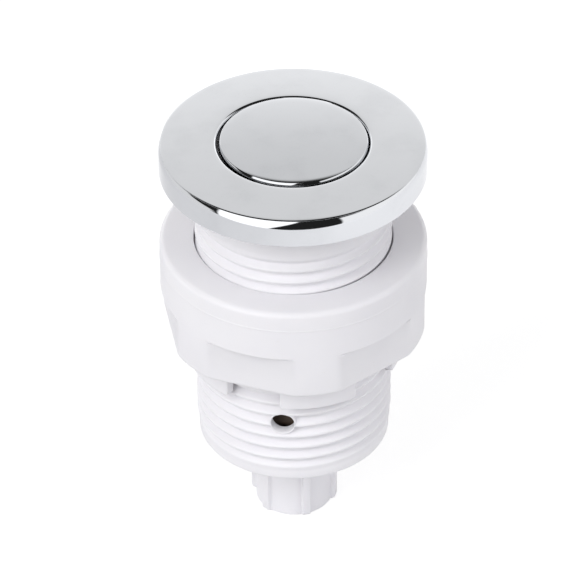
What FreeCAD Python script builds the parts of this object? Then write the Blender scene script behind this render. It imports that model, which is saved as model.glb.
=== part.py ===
"""Sink top air switch: a push button in a chrome bezel on a threaded barrel.

Millimetres, +Z up along the barrel, origin at the centre of the coupling nut's lower face.
Pressing the button squeezes a rubber bellows, which sends a puff of air out of the nipple.
"""
import FreeCAD, Part
import math
import os
import Sketcher

DRIVING_SIZES = {
    # Barrel: a moulded tube, drawn at the crests of its G1 pipe thread
    "thread_diameter": 33.25,
    "thread_depth": 1.475,
    "thread_length": 46.18,
    "barrel_wall": 1.15,
    "neck_relief": 0.225,
    "neck_wall": 1.80,
    "neck_length": 7.25,
    "flange_overhang": 4.20,
    "flange_thickness": 1.80,
    "end_collar_relief": 0.435,
    "end_collar_height": 1.32,
    "end_chamfer": 0.40,
    "vent_diameter": 4.00,
    "vent_height": 12.10,
    "vent_angle": 353.2,
    # Bezel: the plated ring over the barrel's flange
    "bezel_wall": 1.67,
    "bezel_height": 4.65,
    "bezel_plate": 1.85,
    "bezel_edge_chamfer": 0.60,
    "bezel_shoulder_drop": 0.12,
    "bezel_shoulder_width": 0.35,
    "bezel_shoulder_height": 1.50,
    "bezel_fit": 0.05,
    # Gasket under the bezel
    "gasket_thickness": 1.50,
    "gasket_bore_clearance": 0.50,
    # Button
    "button_groove": 0.42,
    "button_proud": 0.72,
    "button_crown": 0.28,
    "button_crown_width": 5.00,
    "button_shoulder_width": 0.40,
    "button_shoulder_height": 1.20,
    "cap_wall": 0.55,
    "cap_fit": 0.03,
    "button_travel": 4.00,
    "button_stop_overlap": 1.13,
    "plunger_flange_thickness": 1.80,
    "plunger_skirt_length": 12.25,
    "plunger_skirt_wall": 1.60,
    "plunger_cup_inset": 0.60,
    "plunger_cup_wall": 1.60,
    "plunger_web": 1.65,
    "running_gap": 0.30,
    # Bellows
    "bellows_side_gap": 1.40,
    "bellows_fold_depth": 3.00,
    "bellows_wall": 1.30,
    "bellows_folds": 4,
    "bellows_height": 32.30,
    "bellows_flange_thickness": 1.50,
    "bellows_top_thickness": 1.60,
    "clamp_height": 2.50,
    "clamp_fit": 0.05,
    # Base plug and its nipple
    "plug_thickness": 4.00,
    "spigot_diameter": 10.40,
    "spigot_end_gap": 0.70,
    "air_passage_diameter": 2.00,
    "nipple_wall": 0.80,
    "nipple_barb": 0.40,
    "nipple_length": 2.60,
    # Mounting nut
    "nut_height": 23.00,
    "nut_thread_clearance": 0.30,
    "nut_side_count": 6,
    "nut_side_wall": 4.175,
    "nut_flange_overhang": 1.33,
    "nut_flange_height": 9.50,
    "nut_flange_round": 1.80,
    "nut_hex_height": 7.70,
    "nut_corner_angle": 10.0,
    "nut_position": 16.60,
    "lug_count": 5,
    "lug_wall": 1.475,
    "lug_gap_angle": 30.0,
    "lug_angle": 13.5,
    "lug_edge_round": 0.50,
    # Coupling nut
    "coupling_wall": 1.06,
    "coupling_length": 15.20,
    "coupling_top_gap": 0.50,
    "coupling_rib_height": 0.89,
    "coupling_rib_width": 1.40,
    "coupling_rib_count": 6,
    "coupling_rib_angle": 17.0,
    "coupling_lead_chamfer": 0.40,
    "tube_room": 0.50,
    "tube_hole_length": 4.00,
    "tube_cone_length": 2.50,
}


class Size:
    """A length or number that carries its value and the sheet expression it comes from."""

    def __init__(self, value, text):
        self.value = float(value)
        self.text = text

    @staticmethod
    def of(other):
        return other if isinstance(other, Size) else Size(other, f"{float(other):g}")

    def __add__(self, other):
        other = Size.of(other)
        return Size(self.value + other.value, f"({self.text} + {other.text})")

    def __sub__(self, other):
        other = Size.of(other)
        return Size(self.value - other.value, f"({self.text} - {other.text})")

    def __mul__(self, other):
        other = Size.of(other)
        return Size(self.value * other.value, f"({self.text} * {other.text})")

    def __truediv__(self, other):
        other = Size.of(other)
        return Size(self.value / other.value, f"({self.text} / {other.text})")

    def __rmul__(self, other):
        return Size.of(other) * self

    def __rtruediv__(self, other):
        return Size.of(other) / self

    def cos(self):
        return Size(math.cos(math.radians(self.value)), f"cos({self.text} * 1 deg)")

    def sin(self):
        return Size(math.sin(math.radians(self.value)), f"sin({self.text} * 1 deg)")


class Sizes:
    """Gives each driving size of the sheet as a Size."""

    def __init__(self, sheet):
        self.sheet = sheet

    def __getattr__(self, alias):
        return Size(getattr(self.sheet, alias), f"Sizes.{alias}")


def make_sheet(doc):
    """Writes one row for each driving size: its name, and its value under that alias."""
    sheet = doc.addObject("Spreadsheet::Sheet", "Sizes")
    for row, (alias, value) in enumerate(DRIVING_SIZES.items(), start=1):
        sheet.set(f"A{row}", alias)
        sheet.set(f"B{row}", str(value))
        sheet.setAlias(f"B{row}", alias)
    doc.recompute()
    return sheet


def origin_plane(body, role):
    return next(item for item in body.Origin.OriginFeatures if item.Role == role)


def make_body(doc, label):
    body = doc.addObject("PartDesign::Body", label)
    body.Label = label
    return body


def bind(item, **expressions):
    """Ties properties of a feature to expressions of the sheet."""
    for name, size in expressions.items():
        item.setExpression(name, Size.of(size).text)


def turn(body, angle):
    """Turns a finished sub-part about the barrel's axis."""
    upright = FreeCAD.Vector(0, 0, 1)
    body.Placement = FreeCAD.Placement(FreeCAD.Vector(), FreeCAD.Rotation(upright, angle.value))
    body.setExpression("Placement.Rotation.Angle", angle.text)


def attached_sketch(body, name, role, lift=None):
    """Adds an empty sketch on one of the body's origin planes, lifted along its normal."""
    sketch = body.newObject("Sketcher::SketchObject", name)
    sketch.AttachmentSupport = [(origin_plane(body, role), "")]
    sketch.MapMode = "FlatFace"
    if lift is not None:
        sketch.AttachmentOffset = FreeCAD.Placement(FreeCAD.Vector(0, 0, lift.value), FreeCAD.Rotation())
        sketch.setExpression("AttachmentOffset.Base.z", lift.text)
    return sketch


def pin(sketch, geometry, vertex, axis_name, size):
    """Holds one coordinate of a vertex at a size of the sheet, measured from the origin."""
    index = sketch.addConstraint(Sketcher.Constraint(axis_name, -1, 1, geometry, vertex, size.value))
    sketch.setExpression(f"Constraints[{index}]", size.text)


def outline(body, name, role, points, lift=None):
    """Draws a closed outline through the points, each held in both directions.

    A point is (across, up) and ends a straight edge, or (across, up, radius) and ends an arc
    of that radius, which bulges to the right of the way along for a positive radius.
    """
    sketch = attached_sketch(body, name, role, lift)
    corners = [(Size.of(point[0]), Size.of(point[1])) for point in points]
    ends = []
    for number, point in enumerate(points):
        start = corners[number - 1]
        end = corners[number]
        first = FreeCAD.Vector(start[0].value, start[1].value, 0)
        last = FreeCAD.Vector(end[0].value, end[1].value, 0)
        if len(point) == 2:
            sketch.addGeometry(Part.LineSegment(first, last))
            ends.append((1, 2))
        else:
            radius = Size.of(point[2])
            chord = last - first
            middle = (first + last) * 0.5
            side = FreeCAD.Vector(-chord.y, chord.x, 0).normalize()
            reach = math.sqrt(radius.value ** 2 - (chord.Length / 2) ** 2)
            centre = middle + side * math.copysign(reach, radius.value)
            circle = Part.Circle(centre, FreeCAD.Vector(0, 0, 1), abs(radius.value))
            angles = [math.atan2(spot.y - centre.y, spot.x - centre.x) for spot in (first, last)]
            forward = radius.value > 0
            if not forward:
                angles.reverse()
            if angles[1] < angles[0]:
                angles[1] += 2 * math.pi
            sketch.addGeometry(Part.ArcOfCircle(circle, angles[0], angles[1]))
            ends.append((1, 2) if forward else (2, 1))
    for number, point in enumerate(points):
        following = (number + 1) % len(points)
        sketch.addConstraint(
            Sketcher.Constraint("Coincident", number, ends[number][1], following, ends[following][0])
        )
        across, up = corners[number]
        if abs(across.value) < 1e-9:
            sketch.addConstraint(Sketcher.Constraint("PointOnObject", number, ends[number][1], -2))
        else:
            pin(sketch, number, ends[number][1], "DistanceX", across)
        if abs(up.value) < 1e-9:
            sketch.addConstraint(Sketcher.Constraint("PointOnObject", number, ends[number][1], -1))
        else:
            pin(sketch, number, ends[number][1], "DistanceY", up)
        if len(point) == 3:
            radius = Size.of(point[2])
            index = sketch.addConstraint(Sketcher.Constraint("Radius", number, abs(radius.value)))
            sketch.setExpression(f"Constraints[{index}]", f"abs({radius.text})")
    return sketch


def revolved(body, name, points, cut=False):
    """Turns an outline of (radius, height) points about the barrel's axis."""
    sketch = outline(body, f"{name}_outline", "XZ_Plane", points)
    kind = "PartDesign::Groove" if cut else "PartDesign::Revolution"
    feature = body.newObject(kind, name)
    feature.Profile = sketch
    feature.ReferenceAxis = (sketch, ["V_Axis"])
    feature.Angle = 360
    body.Document.recompute()
    return feature


def padded(body, name, sketch, length):
    feature = body.newObject("PartDesign::Pad", name)
    feature.Profile = sketch
    bind(feature, Length=length)
    body.Document.recompute()
    return feature


def pocketed(body, name, sketch, length, reverse=False):
    feature = body.newObject("PartDesign::Pocket", name)
    feature.Profile = sketch
    feature.Reversed = reverse
    bind(feature, Length=length)
    body.Document.recompute()
    return feature


def polar_pattern(body, name, feature, count):
    """Repeats a feature evenly round the barrel's axis."""
    pattern = body.newObject("PartDesign::PolarPattern", name)
    pattern.Originals = [feature]
    pattern.Axis = (origin_plane(body, "Z_Axis"), [""])
    pattern.Angle = 360
    bind(pattern, Occurrences=count)
    body.Tip = pattern
    body.Document.recompute()
    return pattern


def rounded(body, name, chosen, radius):
    """Rounds the edges of the body's last feature that the chosen test picks."""
    base = body.Tip
    names = [f"Edge{number}" for number, edge in enumerate(base.Shape.Edges, start=1) if chosen(edge)]
    if not names:
        raise ValueError(f"{name} finds no edge")
    feature = body.newObject("PartDesign::Fillet", name)
    feature.Base = (base, names)
    bind(feature, Radius=radius)
    body.Document.recompute()
    return feature


class Layout:
    """Radii and heights that several pieces share, worked out from the driving sizes."""

    def __init__(self, size):
        self.thread_radius = size.thread_diameter / 2
        self.bore_radius = self.thread_radius - size.thread_depth - size.barrel_wall
        self.neck_radius = self.thread_radius - size.neck_relief
        self.counterbore_radius = self.neck_radius - size.neck_wall
        self.flange_radius = self.neck_radius + size.flange_overhang
        self.plunger_flange_radius = self.counterbore_radius - size.running_gap
        self.bezel_hole_radius = self.plunger_flange_radius - size.button_stop_overlap
        self.button_radius = self.bezel_hole_radius - size.button_groove
        self.bellows_radius = self.bore_radius - size.bellows_side_gap
        self.bellows_root_radius = self.bellows_radius - size.bellows_fold_depth
        self.nipple_radius = size.air_passage_diameter / 2 + size.nipple_wall
        self.barb_radius = self.nipple_radius + size.nipple_barb
        self.barrel_bottom = size.coupling_length + size.coupling_top_gap
        self.thread_bottom = self.barrel_bottom + size.end_collar_height
        self.thread_top = self.thread_bottom + size.thread_length
        self.flange_bottom = self.thread_top + size.neck_length
        self.barrel_top = self.flange_bottom + size.flange_thickness
        self.rim = self.barrel_top + size.bezel_plate
        self.bezel_bottom = self.rim - size.bezel_height
        self.gasket_bottom = self.flange_bottom - size.gasket_thickness
        self.plug_top = self.barrel_bottom + size.plug_thickness
        self.bellows_top = self.plug_top + size.bellows_height
        self.clamp_bottom = self.plug_top + size.bellows_flange_thickness
        self.plunger_top_step = self.barrel_top - size.running_gap
        self.plunger_flange_bottom = self.plunger_top_step - size.plunger_flange_thickness
        self.stop_step = self.plunger_flange_bottom - size.button_travel - size.running_gap
        self.button_edge = self.rim + size.button_proud
        self.cap_ceiling = self.button_edge - size.cap_wall
        self.nut_bottom = self.barrel_bottom + size.nut_position
        self.nut_top = self.nut_bottom + size.nut_height
        self.nut_ledge = self.nut_top - size.nut_flange_height
        self.hex_bottom = self.nut_ledge - size.nut_hex_height
        self.tube_cone_top = size.tube_hole_length + size.tube_cone_length
        self.spigot_bottom = self.tube_cone_top + size.spigot_end_gap
        self.nipple_bottom = self.spigot_bottom - size.nipple_length


def make_barrel(doc, size, at):
    """Moulded tube with a top flange, a stop step inside and a vent hole near its foot."""
    body = make_body(doc, "barrel")
    collar = at.thread_radius - size.end_collar_relief
    points = [
        (at.bore_radius, at.barrel_bottom),
        (collar - size.end_chamfer, at.barrel_bottom),
        (collar, at.barrel_bottom + size.end_chamfer),
        (collar, at.thread_bottom - size.end_collar_relief),
        (at.thread_radius, at.thread_bottom),
        (at.thread_radius, at.thread_top),
        (at.neck_radius, at.thread_top + size.neck_relief),
        (at.neck_radius, at.flange_bottom),
        (at.flange_radius, at.flange_bottom),
        (at.flange_radius, at.barrel_top),
        (at.counterbore_radius, at.barrel_top),
        (at.counterbore_radius, at.stop_step),
        (at.bore_radius, at.stop_step),
    ]
    revolved(body, "tube", points)
    vent = attached_sketch(body, "vent_outline", "XZ_Plane")
    vent_centre = at.barrel_bottom + size.vent_height
    circle = Part.Circle(
        FreeCAD.Vector(0, vent_centre.value, 0), FreeCAD.Vector(0, 0, 1), size.vent_diameter.value / 2
    )
    vent.addGeometry(circle)
    vent.addConstraint(Sketcher.Constraint("PointOnObject", 0, 3, -2))
    pin(vent, 0, 3, "DistanceY", vent_centre)
    radius_row = vent.addConstraint(Sketcher.Constraint("Radius", 0, size.vent_diameter.value / 2))
    vent.setExpression(f"Constraints[{radius_row}]", (size.vent_diameter / 2).text)
    pocketed(body, "vent_hole", vent, at.thread_radius + size.running_gap, reverse=True)
    turn(body, size.vent_angle)
    return body


def make_bezel(doc, size, at):
    """Plated ring: a hole for the button, a rounded shoulder and a recess for the flange."""
    body = make_body(doc, "bezel")
    recess = at.flange_radius + size.bezel_fit
    outer = recess + size.bezel_wall
    width = size.bezel_shoulder_width
    height = size.bezel_shoulder_height
    shoulder_radius = (width * width + height * height) / (2 * width)
    points = [
        (at.bezel_hole_radius + size.bezel_edge_chamfer, at.rim),
        (at.bezel_hole_radius, at.rim - size.bezel_edge_chamfer),
        (at.bezel_hole_radius, at.barrel_top),
        (recess, at.barrel_top),
        (recess, at.bezel_bottom),
        (outer, at.bezel_bottom),
        (outer, at.rim - size.bezel_shoulder_drop - height),
        (outer - width, at.rim - size.bezel_shoulder_drop, shoulder_radius),
    ]
    revolved(body, "ring", points)
    return body


def make_deck_gasket(doc, size, at):
    """Flat rubber ring that seals the bezel on the worktop."""
    body = make_body(doc, "deck_gasket")
    inner = at.neck_radius + size.gasket_bore_clearance
    points = [
        (inner, at.gasket_bottom),
        (at.flange_radius, at.gasket_bottom),
        (at.flange_radius, at.flange_bottom),
        (inner, at.flange_bottom),
    ]
    revolved(body, "flat_ring", points)
    return body


def make_button_cap(doc, size, at):
    """Drawn metal cap, slightly raised in the middle, pressed over the plunger's head."""
    body = make_body(doc, "button_cap")
    outer = at.button_radius
    inner = outer - size.cap_wall
    points = [
        (0, at.cap_ceiling),
        (inner, at.cap_ceiling),
        (inner, at.plunger_top_step),
        (outer, at.plunger_top_step),
        (outer, at.button_edge - size.button_shoulder_height),
        (outer - size.button_shoulder_width, at.button_edge),
        (outer - size.button_crown_width, at.button_edge + size.button_crown),
        (0, at.button_edge + size.button_crown),
    ]
    revolved(body, "crowned_cup", points)
    return body


def make_button_plunger(doc, size, at):
    """Moulded piston: a head in the cap, a stop flange, a guide skirt and a pushing cup."""
    body = make_body(doc, "button_plunger")
    head = at.button_radius - size.cap_wall - size.cap_fit
    flange = at.plunger_flange_radius
    skirt = at.bore_radius - size.running_gap
    skirt_bore = skirt - size.plunger_skirt_wall
    skirt_bottom = at.plunger_flange_bottom - size.plunger_skirt_length
    cup = at.bellows_root_radius - size.plunger_cup_inset
    cup_bore = cup - size.plunger_cup_wall
    cup_bottom = at.bellows_top + size.running_gap
    points = [
        (0, cup_bottom),
        (cup, cup_bottom),
        (cup, at.plunger_flange_bottom - size.plunger_web),
        (skirt_bore, at.plunger_flange_bottom - size.plunger_web),
        (skirt_bore, skirt_bottom),
        (skirt, skirt_bottom),
        (skirt, at.plunger_flange_bottom),
        (flange, at.plunger_flange_bottom),
        (flange, at.plunger_top_step),
        (head, at.plunger_top_step),
        (head, at.cap_ceiling),
        (cup_bore, at.cap_ceiling),
        (cup_bore, cup_bottom + size.plunger_cup_wall),
        (0, cup_bottom + size.plunger_cup_wall),
    ]
    revolved(body, "piston", points)
    return body


def make_bellows(doc, size, at):
    """Rubber bellows, closed on top, with its open mouth and flange on the base plug."""
    body = make_body(doc, "bellows")
    flange = at.bore_radius - size.running_gap
    inside = at.bellows_root_radius - size.bellows_wall
    ceiling = at.bellows_top - size.bellows_top_thickness
    fold_pitch = (ceiling - at.clamp_bottom) / size.bellows_folds
    points = [
        (inside, at.plug_top),
        (flange, at.plug_top),
        (flange, at.clamp_bottom),
        (at.bellows_root_radius, at.clamp_bottom),
    ]
    for fold in range(int(size.bellows_folds.value)):
        points.append((at.bellows_radius, at.clamp_bottom + (fold + 0.5) * fold_pitch))
        points.append((at.bellows_root_radius, at.clamp_bottom + (fold + 1) * fold_pitch))
    points += [
        (at.bellows_root_radius, at.bellows_top),
        (0, at.bellows_top),
        (0, ceiling),
        (inside, ceiling),
    ]
    revolved(body, "folded_wall", points)
    return body


def make_bellows_clamp(doc, size, at):
    """Ring pressed into the bore, which holds the bellows' flange down on the plug."""
    body = make_body(doc, "bellows_clamp")
    outer = at.bore_radius - size.clamp_fit
    inner = at.bellows_radius + size.running_gap
    top = at.clamp_bottom + size.clamp_height
    points = [(inner, at.clamp_bottom), (outer, at.clamp_bottom), (outer, top), (inner, top)]
    revolved(body, "press_ring", points)
    return body


def make_base_plug(doc, size, at):
    """Plug that closes the barrel, with the coupling nut's spigot and the barbed nipple."""
    body = make_body(doc, "base_plug")
    disc = at.bore_radius - size.clamp_fit
    spigot = size.spigot_diameter / 2
    nipple = at.nipple_radius
    barb = at.barb_radius
    passage = size.air_passage_diameter / 2
    barb_top = at.nipple_bottom + size.nipple_length / 2
    points = [
        (passage, at.plug_top),
        (disc, at.plug_top),
        (disc, at.barrel_bottom),
        (spigot, at.barrel_bottom),
        (spigot, at.spigot_bottom),
        (nipple, at.spigot_bottom),
        (nipple, barb_top),
        (barb, barb_top),
        (nipple - size.nipple_barb, at.nipple_bottom),
        (passage, at.nipple_bottom),
    ]
    revolved(body, "plug_and_nipple", points)
    return body


def make_mounting_nut(doc, size, at):
    """Flanged nut: a round flange over a hexagon with cut corners, and lugs below it."""
    body = make_body(doc, "mounting_nut")
    bore = at.thread_radius + size.nut_thread_clearance
    lug = bore + size.lug_wall
    apothem = bore + size.nut_side_wall
    flange = apothem + size.nut_flange_overhang
    corner = apothem / (180 / size.nut_side_count).cos()
    hexagon = []
    for number in range(int(size.nut_side_count.value)):
        angle = size.nut_corner_angle - 90 + number * 360 / size.nut_side_count
        hexagon.append((corner * angle.cos(), corner * angle.sin()))
    sketch = outline(body, "hexagon_outline", "XY_Plane", hexagon, lift=at.hex_bottom)
    padded(body, "hexagon", sketch, size.nut_hex_height)
    beyond = corner + size.running_gap
    trim = [
        (flange, at.hex_bottom - size.running_gap),
        (beyond, at.hex_bottom - size.running_gap),
        (beyond, at.nut_ledge + size.running_gap),
        (flange, at.nut_ledge + size.running_gap),
    ]
    revolved(body, "corner_trim", trim, cut=True)
    profile = [
        (0, at.nut_bottom),
        (lug, at.nut_bottom),
        (lug, at.nut_ledge),
        (flange, at.nut_ledge),
        (flange, at.nut_top - size.nut_flange_round),
        (flange - size.nut_flange_round, at.nut_top, size.nut_flange_round),
        (0, at.nut_top),
    ]
    revolved(body, "flange_and_lug_ring", profile)
    bore_profile = [
        (0, at.nut_bottom - size.running_gap),
        (bore, at.nut_bottom - size.running_gap),
        (bore, at.nut_top + size.running_gap),
        (0, at.nut_top + size.running_gap),
    ]
    revolved(body, "bore", bore_profile, cut=True)
    gap_centre = size.lug_angle - 90 + 180 / size.lug_count
    half_gap = size.lug_gap_angle / 2
    near = bore - size.running_gap
    far = (lug + size.running_gap) / half_gap.cos()
    left = gap_centre - half_gap
    right = gap_centre + half_gap
    wedge = [
        (near * left.cos(), near * left.sin()),
        (far * left.cos(), far * left.sin()),
        (far * right.cos(), far * right.sin()),
        (near * right.cos(), near * right.sin()),
    ]
    gap_sketch = outline(body, "lug_gap_outline", "XY_Plane", wedge, lift=at.nut_bottom)
    gap = pocketed(body, "lug_gap", gap_sketch, at.hex_bottom - at.nut_bottom, reverse=True)
    polar_pattern(body, "lug_gaps", gap, size.lug_count)

    def is_lug_edge(edge):
        middle = edge.CenterOfMass
        upright = abs(edge.BoundBox.ZLength - edge.Length) < 1e-4
        below_hexagon = middle.z < at.hex_bottom.value
        return upright and below_hexagon and math.hypot(middle.x, middle.y) > lug.value - 1e-3

    rounded(body, "lug_rounds", is_lug_edge, size.lug_edge_round)
    return body


def make_coupling_nut(doc, size, at):
    """Ribbed nut on the spigot, with the hole that the air tube goes into."""
    body = make_body(doc, "coupling_nut")
    inner = size.spigot_diameter / 2 + size.running_gap
    outer = inner + size.coupling_wall
    tube = at.barb_radius + size.tube_room
    chamfer = size.coupling_lead_chamfer
    points = [
        (tube, 0),
        (outer - chamfer, 0),
        (outer, chamfer),
        (outer, size.coupling_length),
        (inner, size.coupling_length),
        (inner, at.tube_cone_top),
        (tube, size.tube_hole_length),
    ]
    revolved(body, "sleeve", points)
    half = size.coupling_rib_width / 2
    rib_reach = outer + size.coupling_rib_height
    root = (outer + inner) / 2
    rib_outline = [
        (-1 * half, -1 * root),
        (-1 * half, -1 * rib_reach),
        (half, -1 * rib_reach),
        (half, -1 * root),
    ]
    sketch = outline(body, "rib_outline", "XY_Plane", rib_outline)
    rib = padded(body, "rib", sketch, size.coupling_length)
    polar_pattern(body, "ribs", rib, size.coupling_rib_count)
    turn(body, size.coupling_rib_angle)
    return body


def check(doc, bodies):
    """Stops if an object has failed or a sub-part isn't one valid solid."""
    for item in doc.Objects:
        if "Invalid" in item.State or "Error" in item.State:
            raise RuntimeError(f"{item.Label} has failed: {item.State}")
    for body in bodies:
        shape = body.Shape
        if shape.isNull() or not shape.isValid() or len(shape.Solids) != 1:
            raise RuntimeError(f"{body.Label} is not one valid solid")


def main():
    doc = FreeCAD.newDocument("air_switch")
    size = Sizes(make_sheet(doc))
    at = Layout(size)
    makers = [
        make_barrel,
        make_bezel,
        make_deck_gasket,
        make_button_cap,
        make_button_plunger,
        make_bellows,
        make_bellows_clamp,
        make_base_plug,
        make_mounting_nut,
        make_coupling_nut,
    ]
    bodies = [make(doc, size, at) for make in makers]
    doc.recompute()
    check(doc, bodies)
    os.makedirs("parts", exist_ok=True)
    for body in bodies:
        body.Shape.exportStep(f"parts/{body.Label}.step")
        print(f"{body.Label}: volume {body.Shape.Volume:.1f} mm3, faces {len(body.Shape.Faces)}")


main()
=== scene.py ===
"""Dresses the sink top air switch: plated bezel and button, threaded barrel, nuts and bellows."""
import math
import bpy
import bmesh
from mathutils import Matrix, Vector


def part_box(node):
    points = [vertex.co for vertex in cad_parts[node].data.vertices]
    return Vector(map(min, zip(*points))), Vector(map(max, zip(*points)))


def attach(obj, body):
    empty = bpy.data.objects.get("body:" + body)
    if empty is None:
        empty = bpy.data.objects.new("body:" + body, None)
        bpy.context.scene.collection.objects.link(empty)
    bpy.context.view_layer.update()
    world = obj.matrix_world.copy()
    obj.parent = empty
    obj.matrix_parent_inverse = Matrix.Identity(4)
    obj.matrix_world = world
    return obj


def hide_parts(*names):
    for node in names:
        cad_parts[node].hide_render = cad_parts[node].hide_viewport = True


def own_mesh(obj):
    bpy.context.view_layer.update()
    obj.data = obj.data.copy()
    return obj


MM = 0.001

# Barrel thread, a G1 pipe thread
THREAD_PITCH = 2.309
THREAD_CREST = 16.625
THREAD_ROOT = 15.15
THREAD_ROUND = 0.40
THREAD_LOW = 17.02
THREAD_HIGH = 63.20
THREAD_CREST_HEIGHT = 62.05
THREAD_FLANK_WIDTH = 0.9605
NECK_RADIUS = 16.40
COLLAR_RADIUS = 16.19
BARREL_BORE = 14.0
COUNTERBORE = 14.6
STOP_STEP = 65.85
BARREL_FLANGE = 1.8
VENT_HEIGHT = 27.8
VENT_ANGLE = -6.8
VENT_RADIUS = 2.0
VENT_COUNTERSINK = 0.6
VENT_COUNTERSINK_REACH = 14.6
VENT_DRILL_START = 11
VENT_DRILL_END = 19
VENT_COLLAR_SEGMENTS = 64
# Radius about the vent, and distance from the barrel's axis
VENT_COLLAR_LIP = (
    (2.22, 15.0),
    (2.22, 16.30),
    (2.17, 16.42),
    (2.09, 16.46),
    (2.01, 16.42),
    (1.97, 16.32),
    (1.97, 14.62),
)

# Bezel and button
BEZEL_HOLE = 12.76
BEZEL_DOME = 0.28
BEZEL_RECESS = 20.65
BEZEL_PLATE = 1.85
BEZEL_HOLE_ROUND = 0.80
BEZEL_DOME_START = 13.66
BEZEL_DOME_WIDTH = 8.0
BEZEL_DOME_STEPS = 12
BEZEL_TOP_FALL = 0.06
BEZEL_TOP_EDGE = 22.05
BEZEL_EDGE_ROUND = 2.85
BEZEL_EDGE_DROP = 1.62
BEZEL_SKIRT_DROP = 0.35
BUTTON_RADIUS = 12.48
BUTTON_CROWN = 0.42
BUTTON_PLAY = 0.12
BUTTON_EDGE_ROUND = 1.7
BUTTON_EDGE_DROP = 0.94
BUTTON_EDGE_LEAN = 57
CAP_WALL = 0.55

# Mounting nut
NUT_BORE = 16.70
NUT_FLANGE_ROUND = 1.8
NUT_LEDGE = 45.8
NUT_HEX_BOTTOM = 38.1
NUT_HALF_FLATS = 21.1
NUT_CORNER_ANGLE = 10.0
NUT_PARTING_HEIGHT = 51.8
NUT_PARTING_RISE = 0.06
NUT_CORNER_BLEND = 0.10
NUT_SEGMENTS = 288
LUG_RADIUS = 18.4
LUG_COUNT = 5
LUG_ANGLE = 13.5
LUG_SPAN = 42.0
LUG_OUTER_ROUND = 0.35
LUG_INNER_ROUND = 0.06
LUG_STEPS = 24

# Coupling nut and spigot
COUPLING_RADIUS = 6.56
COUPLING_BORE = 5.5
COUPLING_RIB_REACH = 7.45
COUPLING_RIB_WIDTH = 1.4
COUPLING_RIB_COUNT = 6
COUPLING_RIB_ANGLE = 17.0
TUBE_HOLE = 2.7
TUBE_HOLE_DEPTH = 4.0
TUBE_CONE_END = 6.5
SPIGOT_RADIUS = 5.2
SPIGOT_ROOT = 4.6
SPIGOT_NECK = 4.9
SPIGOT_LOW = 7.2
SPIGOT_PITCH = 1.25
NIPPLE_RADIUS = 1.8
BARB_RADIUS = 2.2
AIR_PASSAGE = 1.0

# Bellows
BELLOWS_FOLDS = 4
BELLOWS_CREST = 12.6
BELLOWS_ROOT = 9.6
BELLOWS_WALL = 1.3
BELLOWS_FLANGE = 13.7
BELLOWS_FLANGE_HEIGHT = 1.5
BELLOWS_TOP = 1.6

# Studio
BOARD_GLOW = 0.78
BOARD_COLOUR = (0.70, 0.70, 0.71, 1.0)
BOARD_SEEN_COLOUR = (0.34, 0.34, 0.34, 1.0)
CEILING_EDGE = (43, 49)
STUDIO_DARK = 0.02
AMBIENT_LEFT = 0.64
AMBIENT_RIGHT = 0.38
AMBIENT_BLUE = 1.01
LAMP_AIM = (0, 0, 0.04)
LAMP_SIZE = 0.8

# Camera
CAMERA_PLACE = (0.0, -0.738084, 0.597417)
CAMERA_PITCH = 36.858
CAMERA_YAW = -0.073
CAMERA_ROLL = 0.269
CAMERA_LENS = 341.965
CAMERA_SENSOR = 36.0

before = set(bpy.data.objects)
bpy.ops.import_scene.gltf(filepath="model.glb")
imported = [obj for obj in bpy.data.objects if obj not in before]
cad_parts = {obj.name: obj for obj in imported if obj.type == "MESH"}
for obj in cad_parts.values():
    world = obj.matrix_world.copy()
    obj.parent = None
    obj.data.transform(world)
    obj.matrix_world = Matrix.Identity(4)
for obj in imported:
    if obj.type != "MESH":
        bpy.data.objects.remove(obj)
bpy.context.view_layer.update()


def box_mm(node):
    """Lowest and highest corner of a CAD node, in millimetres."""
    low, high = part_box(node)
    return low / MM, high / MM


def bend_corners(points, closed, steps=4):
    """Follows the points; a third number on a point is the radius that rounds its corner."""
    line = []
    count = len(points)
    for number, point in enumerate(points):
        spot = Vector(point[:2])
        radius = point[2] if len(point) > 2 else 0.0
        at_end = not closed and number in (0, count - 1)
        if radius <= 0 or at_end:
            line.append(tuple(spot))
            continue
        back = Vector(points[number - 1][:2]) - spot
        ahead = Vector(points[(number + 1) % count][:2]) - spot
        half = back.angle(ahead) / 2
        reach = min(radius / math.tan(half), back.length * 0.49, ahead.length * 0.49)
        radius = reach * math.tan(half)
        centre = spot + (back.normalized() + ahead.normalized()).normalized() * (radius / math.sin(half))
        first = spot + back.normalized() * reach - centre
        last = spot + ahead.normalized() * reach - centre
        sweep = first.angle_signed(last)
        for step in range(steps + 1):
            line.append(tuple(centre + Matrix.Rotation(-sweep * step / steps, 2) @ first))
    return line


def mesh_piece(name, points, faces, body, finish, sharp=32.0):
    """Makes an object from points in millimetres, welds it, and lets it ride on a body."""
    mesh = bpy.data.meshes.new(name)
    mesh.from_pydata([tuple(value * MM for value in point) for point in points], [], faces)
    work = bmesh.new()
    work.from_mesh(mesh)
    bmesh.ops.remove_doubles(work, verts=work.verts, dist=2e-6)
    bmesh.ops.dissolve_degenerate(work, edges=work.edges, dist=1e-7)
    bmesh.ops.recalc_face_normals(work, faces=work.faces)
    work.to_mesh(mesh)
    work.free()
    piece = bpy.data.objects.new(name, mesh)
    bpy.context.scene.collection.objects.link(piece)
    shade(piece, sharp)
    mesh.materials.append(finish)
    if body:
        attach(piece, body)
    return piece


def shade(piece, sharp):
    """Shades a piece smooth, apart from edges sharper than an angle."""
    for polygon in piece.data.polygons:
        polygon.use_smooth = True
    piece.data.set_sharp_from_angle(angle=math.radians(sharp))


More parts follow.
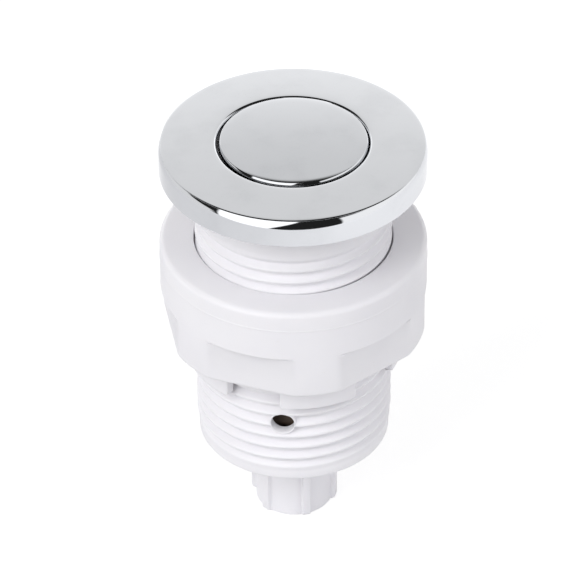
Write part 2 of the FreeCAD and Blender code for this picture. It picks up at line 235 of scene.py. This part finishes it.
def loft(rings, loop):
    """Joins rings that have the same number of points into a skin."""
    around = len(rings[0])
    points = [point for ring in rings for point in ring]
    faces = []
    for row in range(len(rings) if loop else len(rings) - 1):
        below = row * around
        above = ((row + 1) % len(rings)) * around
        for spot in range(around):
            following = (spot + 1) % around
            faces.append((below + spot, below + following, above + following, above + spot))
    return points, faces


def circle_ring(radius, height, segments):
    turn = 2 * math.pi / segments
    return [(radius * math.sin(turn * k), -radius * math.cos(turn * k), height) for k in range(segments)]


def turned(profile, closed, segments=192, steps=4):
    """Turns a profile of (radius, height, corner radius) about the barrel's axis."""
    line = bend_corners(profile, closed, steps)
    return loft([circle_ring(radius, height, segments) for radius, height in line], closed)


def thread_line(crest, root, pitch, rounding, steps):
    """One pitch of the thread as (share of the pitch, radius), with round crest and root."""
    depth = crest - root
    beyond = (pitch * THREAD_FLANK_WIDTH - depth) / 2
    ridge = [
        (-0.5 * pitch, root - beyond),
        (0.0, crest + beyond),
        (0.5 * pitch, root - beyond),
        (pitch, crest + beyond),
    ]
    corners = [ridge[0], ridge[1] + (rounding,), ridge[2] + (rounding,), ridge[3]]
    line = bend_corners(corners, False, steps)[1:-1]
    return [(height / pitch, radius) for height, radius in line]


def threaded(
    around, crest, root, pitch, rounding, low, high, crest_height, segments=160, steps=4, fade=1.4
):
    """A right-hand thread from low to high, closed by a profile from its top back to its foot."""
    line = thread_line(crest, root, pitch, rounding, steps)
    top_radius = around[0][0]
    foot_radius = around[-1][0]
    first = math.floor((low - crest_height) / pitch) - 2
    last = math.ceil((high - crest_height) / pitch) + 2
    rows = [(turn + share, radius) for turn in range(first, last) for share, radius in line]
    points = []
    for column in range(segments + 1):
        angle = 2 * math.pi * column / segments - math.pi
        for share, radius in rows:
            height = crest_height + pitch * (share + angle / (2 * math.pi))
            height = min(max(height, low), high)
            rise = min((height - low) / (fade * pitch), 1.0)
            fall = min((high - height) / (fade * pitch), 1.0)
            rise = rise * rise * (3 - 2 * rise)
            fall = fall * fall * (3 - 2 * fall)
            radius_here = foot_radius + (radius - foot_radius) * rise
            radius_here = top_radius + (radius_here - top_radius) * fall
            points.append((radius_here * math.sin(angle), -radius_here * math.cos(angle), height))
    deep = len(rows)
    faces = []
    for column in range(segments):
        for row in range(deep - 1):
            corner = column * deep + row
            faces.append((corner, corner + deep, corner + deep + 1, corner + 1))
    shell = bend_corners(around, False, steps)
    rings = []
    for radius, height in shell:
        turn = 2 * math.pi / segments
        rings.append([
            (radius * math.sin(turn * k - math.pi), -radius * math.cos(turn * k - math.pi), height)
            for k in range(segments)
        ])
    more_points, more_faces = loft(rings, False)
    start = len(points)
    points += more_points
    faces += [tuple(index + start for index in face) for face in more_faces]
    return points, faces


def drill(piece, radius, start, end, segments=48):
    """Cuts a round hole through a piece, from start to end in millimetres."""
    cutter_mesh = bpy.data.meshes.new("drill")
    work = bmesh.new()
    start = Vector(start) * MM
    end = Vector(end) * MM
    along = end - start
    bmesh.ops.create_cone(
        work, cap_ends=True, segments=segments, radius1=radius * MM, radius2=radius * MM, depth=along.length
    )
    work.to_mesh(cutter_mesh)
    work.free()
    cutter = bpy.data.objects.new("drill", cutter_mesh)
    bpy.context.scene.collection.objects.link(cutter)
    turn = along.to_track_quat("Z", "Y").to_matrix().to_4x4()
    cutter.matrix_world = Matrix.Translation((start + end) / 2) @ turn
    cut = piece.modifiers.new("hole", "BOOLEAN")
    cut.operation = "DIFFERENCE"
    cut.solver = "EXACT"
    cut.object = cutter
    bpy.context.view_layer.update()
    evaluated = piece.evaluated_get(bpy.context.evaluated_depsgraph_get())
    drilled = bpy.data.meshes.new_from_object(evaluated)
    piece.modifiers.clear()
    piece.data = drilled
    bpy.data.objects.remove(cutter)


class Wiring:
    """Adds nodes to a tree and joins them."""

    def __init__(self, tree):
        self.tree = tree

    def add(self, kind, inputs=None, **settings):
        node = self.tree.nodes.new(kind)
        for name, value in settings.items():
            setattr(node, name, value)
        for name, value in (inputs or {}).items():
            if isinstance(value, bpy.types.NodeSocket):
                self.tree.links.new(value, node.inputs[name])
            else:
                node.inputs[name].default_value = value
        return node

    def math(self, operation, first, second=0.0):
        return self.add("ShaderNodeMath", {0: first, 1: second}, operation=operation).outputs[0]

    def ramp(self, value, low, high, to_low=0.0, to_high=1.0):
        """Maps a value smoothly from one range to another."""
        node = self.add(
            "ShaderNodeMapRange",
            {0: value, 1: low, 2: high, 3: to_low, 4: to_high},
            interpolation_type="SMOOTHSTEP",
        )
        return node.outputs[0]

    def mix(self, share, first, second):
        node = self.add("ShaderNodeMix", {0: share, 6: first, 7: second}, data_type="RGBA")
        return node.outputs[2]


def make_group(name, inputs, outputs):
    """Starts a shader node group with named number inputs and outputs."""
    tree = bpy.data.node_groups.new(name, "ShaderNodeTree")
    for label, value in inputs.items():
        socket = tree.interface.new_socket(label, in_out="INPUT", socket_type="NodeSocketFloat")
        socket.default_value = value
    for label in outputs:
        tree.interface.new_socket(label, in_out="OUTPUT", socket_type="NodeSocketFloat")
    wires = Wiring(tree)
    return wires, wires.add("NodeGroupInput"), wires.add("NodeGroupOutput")


def plating_group():
    """Slow ripple of polished plate, hairline wipe marks and faint finger haze."""
    wires, given, result = make_group(
        "plating", {"Ripple Scale": 60.0, "Hairline Scale": 900.0}, ["Height", "Haze"]
    )
    place = wires.add("ShaderNodeTexCoord").outputs["Object"]
    ripple = wires.add(
        "ShaderNodeTexNoise",
        {"Vector": place, "Scale": given.outputs["Ripple Scale"], "Detail": 1.0},
    )
    stretched = wires.add(
        "ShaderNodeMapping",
        {"Vector": place, "Rotation": (0.0, 0.0, 0.6), "Scale": (1.0, 0.06, 1.0)},
    )
    hairline = wires.add(
        "ShaderNodeTexNoise",
        {"Vector": stretched.outputs[0], "Scale": given.outputs["Hairline Scale"], "Detail": 3.0},
    )
    thin = wires.ramp(hairline.outputs["Fac"], 0.62, 0.74)
    haze = wires.add(
        "ShaderNodeTexNoise",
        {"Vector": place, "Scale": 140.0, "Detail": 4.0, "Roughness": 0.6},
    )
    cloud = wires.ramp(haze.outputs["Fac"], 0.42, 0.72)
    height = wires.math("ADD", ripple.outputs["Fac"], wires.math("MULTIPLY", thin, -0.04))
    wires.tree.links.new(height, result.inputs["Height"])
    wires.tree.links.new(cloud, result.inputs["Haze"])
    return wires.tree


def moulding_group():
    """Faint skin of moulded plastic or rubber: slow sink, fine grain and cloudy gloss."""
    wires, given, result = make_group(
        "moulding", {"Grain Scale": 2600.0, "Cloud Scale": 90.0}, ["Height", "Cloud", "Speckle"]
    )
    place = wires.add("ShaderNodeTexCoord").outputs["Object"]
    grain = wires.add(
        "ShaderNodeTexNoise",
        {"Vector": place, "Scale": given.outputs["Grain Scale"], "Detail": 3.0},
    )
    slow = wires.add(
        "ShaderNodeTexNoise",
        {"Vector": place, "Scale": given.outputs["Cloud Scale"], "Detail": 3.0},
    )
    spots = wires.add("ShaderNodeTexNoise", {"Vector": place, "Scale": 1500.0, "Detail": 2.0})
    height = wires.math("ADD", wires.math("MULTIPLY", grain.outputs["Fac"], 0.25), slow.outputs["Fac"])
    wires.tree.links.new(height, result.inputs["Height"])
    wires.tree.links.new(wires.ramp(slow.outputs["Fac"], 0.3, 0.7), result.inputs["Cloud"])
    wires.tree.links.new(wires.ramp(spots.outputs["Fac"], 0.70, 0.78), result.inputs["Speckle"])
    return wires.tree


def start_material(name):
    material = bpy.data.materials.new(name)
    material.use_nodes = True
    return material, Wiring(material.node_tree), material.node_tree.nodes["Principled BSDF"]


def chrome(name, colour, hazed, group):
    """Bright chrome plate."""
    material, wires, shader = start_material(name)
    plating = wires.add("ShaderNodeGroup", node_tree=group)
    shader.inputs["Metallic"].default_value = 1.0
    haze = plating.outputs["Haze"]
    wires.tree.links.new(wires.mix(haze, colour + (1.0,), hazed + (1.0,)), shader.inputs["Base Color"])
    wires.tree.links.new(wires.ramp(haze, 0.0, 1.0, 0.035, 0.075), shader.inputs["Roughness"])
    bump = wires.add(
        "ShaderNodeBump",
        {"Strength": 0.25, "Distance": 0.00002, "Height": plating.outputs["Height"]},
    )
    wires.tree.links.new(bump.outputs[0], shader.inputs["Normal"])
    return material


def moulded(name, colour, cloudy, speck, gloss, group, bump_depth, subsurface=0.0, grain=2600.0):
    """Moulded plastic or rubber with a cloudy gloss and a few specks."""
    material, wires, shader = start_material(name)
    skin = wires.add("ShaderNodeGroup", {"Grain Scale": grain}, node_tree=group)
    base = wires.mix(skin.outputs["Cloud"], colour + (1.0,), cloudy + (1.0,))
    spotted = wires.mix(wires.math("MULTIPLY", skin.outputs["Speckle"], 0.35), base, speck + (1.0,))
    wires.tree.links.new(spotted, shader.inputs["Base Color"])
    rough = wires.ramp(skin.outputs["Cloud"], 0.0, 1.0, gloss[0], gloss[1])
    wires.tree.links.new(rough, shader.inputs["Roughness"])
    bump = wires.add(
        "ShaderNodeBump",
        {"Strength": 0.5, "Distance": bump_depth, "Height": skin.outputs["Height"]},
    )
    wires.tree.links.new(bump.outputs[0], shader.inputs["Normal"])
    if subsurface:
        shader.inputs["Subsurface Weight"].default_value = subsurface
        shader.inputs["Subsurface Radius"].default_value = (1.0, 0.95, 0.9)
        shader.inputs["Subsurface Scale"].default_value = 0.0012
    return material


def make_bezel(finish):
    low, high = box_mm("bezel")
    rim = high.z
    foot = low.z - BEZEL_SKIRT_DROP
    under = rim - BEZEL_PLATE
    crown = BEZEL_EDGE_ROUND
    profile = [
        (BEZEL_HOLE, under, 0.2),
        (BEZEL_HOLE, rim + BEZEL_DOME, BEZEL_HOLE_ROUND),
    ]
    for step in range(BEZEL_DOME_STEPS + 1):
        share = step / BEZEL_DOME_STEPS
        rise = (BEZEL_DOME + BEZEL_TOP_FALL) * (1 - share ** 1.3)
        profile.append((BEZEL_DOME_START + BEZEL_DOME_WIDTH * share, rim - BEZEL_TOP_FALL + rise))
    profile.append((BEZEL_TOP_EDGE, rim - 0.10, 0.40))
    for lean in range(60, 91, 3):
        lean = math.radians(lean)
        radius = high.x - crown + crown * math.sin(lean)
        profile.append((radius, rim - BEZEL_EDGE_DROP + crown * math.cos(lean)))
    profile += [
        (high.x, foot, 0.18),
        (BEZEL_RECESS, foot, 0.1),
        (BEZEL_RECESS, under),
    ]
    points, faces = turned(profile, True, segments=256, steps=6)
    piece = mesh_piece("bezel_ring", points, faces, "barrel", finish, sharp=40.0)
    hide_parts("bezel")
    return piece


def make_button(finish):
    low, high = box_mm("button_cap")
    edge = high.z - BUTTON_CROWN
    profile = [(0.0, high.z)]
    for share in (0.15, 0.3, 0.45, 0.6, 0.75, 0.86, 0.925):
        profile.append((BUTTON_RADIUS * share, high.z - BUTTON_CROWN * share * share))
    inner = BUTTON_RADIUS - CAP_WALL
    slow = BUTTON_EDGE_ROUND
    profile.append((BUTTON_RADIUS - slow + slow * math.sin(math.radians(BUTTON_EDGE_LEAN)), edge, 0.35))
    for lean in range(60, 91, 5):
        lean = math.radians(lean)
        radius = BUTTON_RADIUS - slow + slow * math.sin(lean)
        profile.append((radius, edge - BUTTON_EDGE_DROP + slow * math.cos(lean)))
    profile += [
        (BUTTON_RADIUS, low.z, 0.08),
        (inner, low.z),
        (inner, edge - CAP_WALL, 0.2),
        (0.0, edge - CAP_WALL),
    ]
    points, faces = turned(profile, False, segments=224, steps=8)
    points = [(x + BUTTON_PLAY, y, z) for x, y, z in points]
    piece = mesh_piece("button_shell", points, faces, "button", finish, sharp=40.0)
    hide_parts("button_cap")
    return piece


def make_barrel(finish):
    low, high = box_mm("barrel")
    flange_bottom = high.z - BARREL_FLANGE
    around = [
        (NECK_RADIUS, THREAD_HIGH),
        (NECK_RADIUS, flange_bottom, 0.3),
        (high.x, flange_bottom, 0.2),
        (high.x, high.z, 0.2),
        (COUNTERBORE, high.z, 0.3),
        (COUNTERBORE, STOP_STEP, 0.15),
        (BARREL_BORE, STOP_STEP, 0.15),
        (BARREL_BORE, low.z, 0.3),
        (COLLAR_RADIUS, low.z, 0.45),
        (COLLAR_RADIUS, THREAD_LOW),
    ]
    points, faces = threaded(
        around, THREAD_CREST, THREAD_ROOT, THREAD_PITCH, THREAD_ROUND,
        THREAD_LOW, THREAD_HIGH, THREAD_CREST_HEIGHT,
    )
    piece = mesh_piece("threaded_barrel", points, faces, "barrel", finish, sharp=50.0)
    side = math.radians(VENT_ANGLE)
    out = Vector((math.sin(side), -math.cos(side), 0))
    centre = Vector((0, 0, VENT_HEIGHT))
    start = centre + out * VENT_DRILL_START
    drill(piece, VENT_RADIUS, start, centre + out * VENT_DRILL_END)
    drill(piece, VENT_RADIUS + VENT_COUNTERSINK, start, centre + out * VENT_COUNTERSINK_REACH)
    collar = make_vent_collar(finish)
    work = bmesh.new()
    work.from_mesh(piece.data)
    work.from_mesh(collar.data)
    work.to_mesh(piece.data)
    work.free()
    bpy.data.objects.remove(collar)
    shade(piece, 50.0)
    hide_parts("barrel")
    return piece


def make_vent_collar(finish):
    """The plain collar that the thread stops against, round the vent hole."""
    side = math.radians(VENT_ANGLE)
    out = Vector((math.sin(side), -math.cos(side), 0))
    across = Vector((math.cos(side), math.sin(side), 0))
    rings = []
    for radius, reach in VENT_COLLAR_LIP:
        ring = []
        for step in range(VENT_COLLAR_SEGMENTS):
            angle = 2 * math.pi * step / VENT_COLLAR_SEGMENTS
            wide = radius * math.cos(angle)
            deep = math.sqrt(reach * reach - wide * wide)
            spot = out * deep + across * wide
            ring.append((spot.x, spot.y, VENT_HEIGHT + radius * math.sin(angle)))
        rings.append(ring)
    points, faces = loft(rings, False)
    return mesh_piece("vent_collar", points, faces, None, finish, sharp=50.0)


def nut_side(angle, corner_radius):
    """Distance from the axis to the hexagon with its corners cut by the flange's cylinder."""
    from_flat = (math.degrees(angle) - NUT_CORNER_ANGLE) % 60 - 30
    flat = NUT_HALF_FLATS / math.cos(math.radians(from_flat))
    gap = (flat - corner_radius) / NUT_CORNER_BLEND
    return corner_radius + NUT_CORNER_BLEND * (-math.log1p(math.exp(-gap)) if gap > -30 else gap)


def make_mounting_nut(finish):
    low, high = box_mm("mounting_nut")
    flange = high.x
    angles = [2 * math.pi * k / NUT_SEGMENTS for k in range(NUT_SEGMENTS)]

    def ring(radius_at, height):
        return [
            (radius_at(angle) * math.sin(angle), -radius_at(angle) * math.cos(angle), height)
            for angle in angles
        ]

    top = bend_corners(
        [
            (NUT_BORE, NUT_HEX_BOTTOM + 3),
            (NUT_BORE, high.z, 0.2),
            (flange, high.z, NUT_FLANGE_ROUND),
            (flange, high.z - NUT_FLANGE_ROUND - 0.15),
            (flange, NUT_PARTING_HEIGHT + 0.30),
            (flange, NUT_PARTING_HEIGHT + 0.16),
            (flange + NUT_PARTING_RISE, NUT_PARTING_HEIGHT + 0.04),
            (flange + NUT_PARTING_RISE, NUT_PARTING_HEIGHT - 0.04),
            (flange, NUT_PARTING_HEIGHT - 0.16),
            (flange, NUT_PARTING_HEIGHT - 0.30),
            (flange, NUT_LEDGE + 0.5),
            (flange, NUT_LEDGE + 0.3),
        ],
        False,
        7,
    )
    rings = [ring(lambda angle, r=radius: r, height) for radius, height in top]
    for back, drop in ((0.04, 0.14), (0.14, 0.04), (0.3, 0.0)):
        rings.append(ring(lambda angle, b=back: max(flange - b, nut_side(angle, flange)), NUT_LEDGE + drop))
    for out, drop in ((0.25, 0.0), (0.09, 0.09), (0.0, 0.25)):
        rings.append(ring(lambda angle, o=out: min(flange, nut_side(angle, flange) + o), NUT_LEDGE - drop))
    for back, rise in ((0.0, 0.6), (0.06, 0.3), (0.2, 0.1), (0.5, 0.0)):
        rings.append(ring(lambda angle, b=back: nut_side(angle, flange) - b, NUT_HEX_BOTTOM + rise))
    rings.append(ring(lambda angle: NUT_BORE + 0.3, NUT_HEX_BOTTOM))
    rings.append(ring(lambda angle: NUT_BORE, NUT_HEX_BOTTOM + 0.3))
    points, faces = loft(rings, True)
    for number in range(LUG_COUNT):
        middle = math.radians(LUG_ANGLE + number * 360 / LUG_COUNT)
        half = math.radians(LUG_SPAN / 2)
        outline = []
        for radius, corner, sweep in (
            (LUG_RADIUS, LUG_OUTER_ROUND, half),
            (NUT_BORE, LUG_INNER_ROUND, -half),
        ):
            for step in range(LUG_STEPS + 1):
                angle = middle - sweep + 2 * sweep * step / LUG_STEPS
                rounding = (corner,) if step in (0, LUG_STEPS) else ()
                outline.append((radius * math.sin(angle), -radius * math.cos(angle)) + rounding)
        outline = bend_corners(outline, True, 5)
        levels = [
            (0.0, NUT_HEX_BOTTOM + 0.4),
            (0.0, low.z + 0.45),
            (0.06, low.z + 0.2),
            (0.2, low.z + 0.06),
            (0.4, low.z),
        ]
        lug_rings = []
        for back, height in levels:
            lug_rings.append([(x, y, height) for x, y in shrink(outline, back)])
        lug_points, lug_faces = loft(lug_rings, False)
        count = len(outline)
        lug_faces.append(tuple(range(count)))
        lug_faces.append(tuple(range(len(lug_points) - count, len(lug_points))))
        start = len(points)
        points += lug_points
        faces += [tuple(index + start for index in face) for face in lug_faces]
    piece = mesh_piece("flanged_nut", points, faces, "mounting_nut", finish, sharp=38.0)
    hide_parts("mounting_nut")
    return piece


def shrink(outline, distance):
    """Moves each point of a closed outline inwards, square to its neighbours' line."""
    if distance == 0:
        return list(outline)
    area = sum(
        outline[k - 1][0] * outline[k][1] - outline[k][0] * outline[k - 1][1] for k in range(len(outline))
    )
    side = 1.0 if area > 0 else -1.0
    moved = []
    for k, spot in enumerate(outline):
        back = Vector(outline[k - 1])
        ahead = Vector(outline[(k + 1) % len(outline)])
        along = (ahead - back).normalized()
        moved.append((spot[0] - side * along.y * distance, spot[1] + side * along.x * distance))
    return moved


def make_coupling_nut(finish):
    low, high = box_mm("coupling_nut")
    reach = COUPLING_RIB_REACH
    half = COUPLING_RIB_WIDTH / 2
    outline = []
    for number in range(COUPLING_RIB_COUNT):
        middle = math.radians(COUPLING_RIB_ANGLE + number * 360 / COUPLING_RIB_COUNT)
        out = Vector((math.sin(middle), -math.cos(middle)))
        across = Vector((math.cos(middle), math.sin(middle)))
        foot = math.sqrt(COUPLING_RADIUS ** 2 - half ** 2)
        for side in (-1, 1):
            corners = [(foot, 0.3), (reach, 0.25)] if side < 0 else [(reach, 0.25), (foot, 0.3)]
            for along, radius in corners:
                spot = out * along + across * half * side
                outline.append((spot.x, spot.y, radius))
        edge = math.asin(half / COUPLING_RADIUS)
        span = 2 * math.pi / COUPLING_RIB_COUNT - 2 * edge
        for step in range(1, 12):
            angle = middle + edge + span * step / 12
            outline.append((COUPLING_RADIUS * math.sin(angle), -COUPLING_RADIUS * math.cos(angle)))
    outline = bend_corners(outline, True, 4)

    def scaled(limit, height):
        ring = []
        for x, y in outline:
            length = math.hypot(x, y)
            share = min(length, limit) / length
            ring.append((x * share, y * share, height))
        return ring

    bore_line = (
        (COUPLING_BORE, high.z - 0.2),
        (COUPLING_BORE, TUBE_CONE_END),
        (TUBE_HOLE, TUBE_HOLE_DEPTH),
        (TUBE_HOLE, 0.25),
        (TUBE_HOLE + 0.25, 0.0),
    )
    inner = []
    for radius, height in bore_line:
        inner.append([
            (x / math.hypot(x, y) * radius, y / math.hypot(x, y) * radius, height) for x, y in outline
        ])
    rings = [
        scaled(5.7, high.z),
        scaled(6.36, high.z),
        scaled(6.50, high.z - 0.06),
        scaled(6.62, high.z - 0.2),
        scaled(7.2, high.z - 0.75),
        scaled(reach, high.z - 1.15),
        scaled(reach, 0.95),
        scaled(7.3, 0.6),
        scaled(6.9, 0.3),
        scaled(COUPLING_RADIUS, 0.22),
        scaled(6.42, 0.08),
        scaled(6.2, 0.0),
    ]
    rings += list(reversed(inner))
    points, faces = loft(rings, True)
    piece = mesh_piece(
        "ribbed_coupling", points, faces, "coupling_nut", finish, sharp=38.0
    )
    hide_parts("coupling_nut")
    return piece


def make_base_plug(finish):
    low, high = box_mm("base_plug")
    barrel_low, _ = box_mm("barrel")
    disc = high.x
    around = [
        (SPIGOT_NECK, barrel_low.z - 0.9),
        (SPIGOT_NECK, barrel_low.z, 0.2),
        (disc, barrel_low.z, 0.1),
        (disc, high.z, 0.3),
        (AIR_PASSAGE, high.z, 0.3),
        (AIR_PASSAGE, low.z, 0.1),
        (1.4, low.z, 0.1),
        (BARB_RADIUS, low.z + 1.3, 0.06),
        (NIPPLE_RADIUS, low.z + 1.35),
        (NIPPLE_RADIUS, SPIGOT_LOW, 0.3),
        (SPIGOT_ROOT, SPIGOT_LOW, 0.3),
        (SPIGOT_ROOT, SPIGOT_LOW + 0.9),
    ]
    points, faces = threaded(
        around, SPIGOT_RADIUS, SPIGOT_ROOT, SPIGOT_PITCH, 0.15,
        SPIGOT_LOW + 0.9, barrel_low.z - 0.9, 10.0, segments=96, steps=3, fade=0.8,
    )
    piece = mesh_piece("plug_and_spigot", points, faces, "barrel", finish, sharp=50.0)
    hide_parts("base_plug")
    return piece


def make_bellows(finish):
    low, high = box_mm("bellows")
    bottom = low.z + BELLOWS_FLANGE_HEIGHT
    ceiling = high.z - BELLOWS_TOP
    fold = (ceiling - bottom) / BELLOWS_FOLDS
    outside = [(BELLOWS_ROOT, bottom, 0.3)]
    for number in range(BELLOWS_FOLDS):
        outside.append((BELLOWS_CREST + 0.25, bottom + (number + 0.5) * fold, 0.75))
        outside.append((BELLOWS_ROOT - 0.15, bottom + (number + 1) * fold, 0.7))
    outside[-1] = (BELLOWS_ROOT, ceiling, 0.6)
    inside = [(radius - BELLOWS_WALL, height, rounding) for radius, height, rounding in reversed(outside)]
    profile = [(0.0, ceiling), *inside, (BELLOWS_ROOT - BELLOWS_WALL, low.z)]
    profile += [(BELLOWS_FLANGE, low.z, 0.3), (BELLOWS_FLANGE, bottom, 0.3)]
    profile += outside + [(BELLOWS_ROOT, high.z, 0.6), (0.0, high.z)]
    points, faces = turned(profile, False, segments=96, steps=3)
    piece = mesh_piece("air_bellows", points, faces, "barrel", finish, sharp=60.0)
    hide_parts("bellows")
    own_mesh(piece)
    return piece


def make_floor():
    """A pale board that shows white to the camera, and keeps the switch's soft shadow."""
    mesh = bpy.data.meshes.new("floor")
    corners = [(-0.30, -0.137, 0), (0.75, -0.137, 0), (0.75, 0.9, 0), (-0.30, 0.9, 0)]
    mesh.from_pydata(corners, [], [(0, 1, 2, 3)])
    floor = bpy.data.objects.new("floor", mesh)
    bpy.context.scene.collection.objects.link(floor)
    material = bpy.data.materials.new("pale_board")
    material.use_nodes = True
    wires = Wiring(material.node_tree)
    material.node_tree.nodes.clear()
    paths = wires.add("ShaderNodeLightPath")
    camera = paths.outputs["Is Camera Ray"]
    place = wires.add("ShaderNodeSeparateXYZ", {0: wires.add("ShaderNodeTexCoord").outputs["Object"]})
    brighter = wires.ramp(place.outputs["X"], -0.12, 0.12, 0.27, 0.55)
    mirrored = wires.math("MULTIPLY", paths.outputs["Is Glossy Ray"], brighter)
    colour = wires.mix(camera, BOARD_COLOUR, BOARD_SEEN_COLOUR)
    board = wires.add("ShaderNodeBsdfDiffuse", {"Color": colour})
    shown = wires.math("MAXIMUM", wires.math("MULTIPLY", camera, BOARD_GLOW), mirrored)
    glow = wires.add("ShaderNodeEmission", {"Strength": shown})
    both = wires.add("ShaderNodeAddShader", {0: board.outputs[0], 1: glow.outputs[0]})
    wires.add("ShaderNodeOutputMaterial", {"Surface": both.outputs[0]})
    mesh.materials.append(material)


def make_world():
    """White for the camera, an even grey for soft light, and a studio for reflections."""
    world = bpy.data.worlds.new("studio")
    world.use_nodes = True
    bpy.context.scene.world = world
    wires = Wiring(world.node_tree)
    world.node_tree.nodes.clear()
    way = wires.add("ShaderNodeSeparateXYZ", {0: wires.add("ShaderNodeTexCoord").outputs["Generated"]})
    azimuth = wires.math("ARCTAN2", way.outputs["X"], wires.math("MULTIPLY", way.outputs["Y"], -1.0))
    azimuth = wires.math("DEGREES", azimuth)
    aside = wires.math("ABSOLUTE", azimuth)
    elevation = wires.math("DEGREES", wires.math("ARCSINE", way.outputs["Z"]))

    def between(value, low, high, soft):
        return wires.math(
            "MULTIPLY",
            wires.ramp(value, low - soft, low + soft),
            wires.ramp(value, high - soft, high + soft, 1.0, 0.0),
        )

    def leaning(share):
        """Azimuth read along a line that leans with the height."""
        return wires.math("SUBTRACT", azimuth, wires.math("MULTIPLY", elevation, share))

    back = wires.ramp(elevation, 0, 42, 1.9, 0.93)
    rising = wires.math("ADD", elevation, wires.math("MULTIPLY", azimuth, 0.35))
    panels = [
        (between(aside, 138, 300, 6), between(elevation, -90, 54, 4), back),
        (between(aside, 138, 300, 6), between(elevation, -90, 21, 3), 2.2),
        (between(leaning(-0.08), 38, 160, 1.5), between(elevation, -90, 14, 2), 1.25),
        (between(azimuth, 100, 160, 8), between(elevation, -90, 54, 4), 1.15),
        (between(azimuth, -160, -66, 4), between(rising, -300, -27, 2), 0.95),
        (between(azimuth, -61, 60, 2), between(leaning(0.48), -300, -6, 2), 1.70),
    ]
    light = STUDIO_DARK
    ceiling = wires.ramp(elevation, CEILING_EDGE[0], CEILING_EDGE[1], 1.0, 0.0)
    for across, up, strength in panels:
        panel = wires.math("MULTIPLY", wires.math("MULTIPLY", across, up), strength)
        light = wires.math("MAXIMUM", light, wires.math("MULTIPLY", panel, ceiling))
    paths = wires.add("ShaderNodeLightPath")
    shining = wires.math("MAXIMUM", paths.outputs["Is Glossy Ray"], paths.outputs["Is Transmission Ray"])
    studio = wires.add("ShaderNodeCombineColor", {0: light, 1: light, 2: light})
    soft = wires.ramp(way.outputs["X"], -1.0, 1.0, AMBIENT_LEFT, AMBIENT_RIGHT)
    bluer = wires.math("MULTIPLY", soft, AMBIENT_BLUE)
    ambient = wires.add("ShaderNodeCombineColor", {0: soft, 1: soft, 2: bluer})
    reflected = wires.mix(shining, ambient.outputs[0], studio.outputs[0])
    seen = wires.mix(paths.outputs["Is Camera Ray"], reflected, (1.0, 1.0, 1.0, 1.0))
    ground = wires.add("ShaderNodeBackground", {"Color": seen, "Strength": 1.0})
    wires.add("ShaderNodeOutputWorld", {"Surface": ground.outputs[0]})


def make_lamp(name, place, power, colour):
    """A square soft lamp that the chrome doesn't mirror, aimed at the middle of the switch."""
    light = bpy.data.lights.new(name, "AREA")
    light.shape = "SQUARE"
    light.size = LAMP_SIZE
    light.energy = power
    light.color = colour
    lamp = bpy.data.objects.new(name, light)
    bpy.context.scene.collection.objects.link(lamp)
    lamp.location = place
    lamp.rotation_euler = (Vector(LAMP_AIM) - Vector(place)).to_track_quat("-Z", "Y").to_euler()
    lamp.visible_glossy = False


def make_camera():
    """The photograph's view: a long lens, looking down on the bezel."""
    pitch = math.radians(CAMERA_PITCH)
    yaw = math.radians(CAMERA_YAW)
    roll = math.radians(CAMERA_ROLL)
    ahead = Vector((math.sin(yaw) * math.cos(pitch), math.cos(yaw) * math.cos(pitch), -math.sin(pitch)))
    right = ahead.cross(Vector((0, 0, 1))).normalized()
    down = ahead.cross(right)
    rolled_right = right * math.cos(roll) + down * math.sin(roll)
    rolled_down = down * math.cos(roll) - right * math.sin(roll)
    turn = Matrix((rolled_right, -rolled_down, -ahead)).transposed().to_4x4()
    data = bpy.data.cameras.new("camera")
    data.sensor_width = CAMERA_SENSOR
    data.lens = CAMERA_LENS
    data.clip_end = 10.0
    camera = bpy.data.objects.new("camera", data)
    bpy.context.scene.collection.objects.link(camera)
    camera.matrix_world = Matrix.Translation(CAMERA_PLACE) @ turn
    bpy.context.scene.camera = camera


def dress(node, finish):
    """Gives a CAD node that keeps its own shape its finish."""
    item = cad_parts[node]
    if not item.material_slots:
        item.data.materials.append(finish)
    for place in item.material_slots:
        place.material = finish


def main():
    plating = plating_group()
    moulding = moulding_group()
    bezel_chrome = chrome("bezel_chrome", (0.66, 0.67, 0.69), (0.63, 0.64, 0.66), plating)
    button_chrome = chrome("button_chrome", (0.60, 0.61, 0.63), (0.57, 0.58, 0.60), plating)
    white = moulded(
        "white_moulding", (0.88, 0.87, 0.895), (0.86, 0.85, 0.88), (0.80, 0.78, 0.76), (0.34, 0.44),
        moulding, 0.00001, subsurface=0.15,
    )
    black = moulded(
        "black_rubber", (0.022, 0.022, 0.023), (0.03, 0.03, 0.031), (0.05, 0.05, 0.05), (0.55, 0.7),
        moulding, 0.00003,
    )
    brown = moulded(
        "brown_rubber", (0.16, 0.11, 0.08), (0.13, 0.09, 0.065), (0.2, 0.15, 0.11), (0.5, 0.65),
        moulding, 0.00003,
    )
    make_bezel(bezel_chrome)
    make_button(button_chrome)
    make_barrel(white)
    make_mounting_nut(white)
    make_coupling_nut(white)
    make_base_plug(white)
    make_bellows(brown)
    dress("button_plunger", white)
    dress("bellows_clamp", white)
    dress("deck_gasket", black)
    make_floor()
    make_world()
    make_lamp("key", (-0.75, -0.80, 0.95), 10.2, (1.0, 1.0, 1.0))
    make_lamp("fill", (0.85, -0.60, 0.65), 4.4, (0.98, 0.98, 1.0))
    make_camera()
    bpy.context.scene.view_settings.view_transform = "Standard"


main()
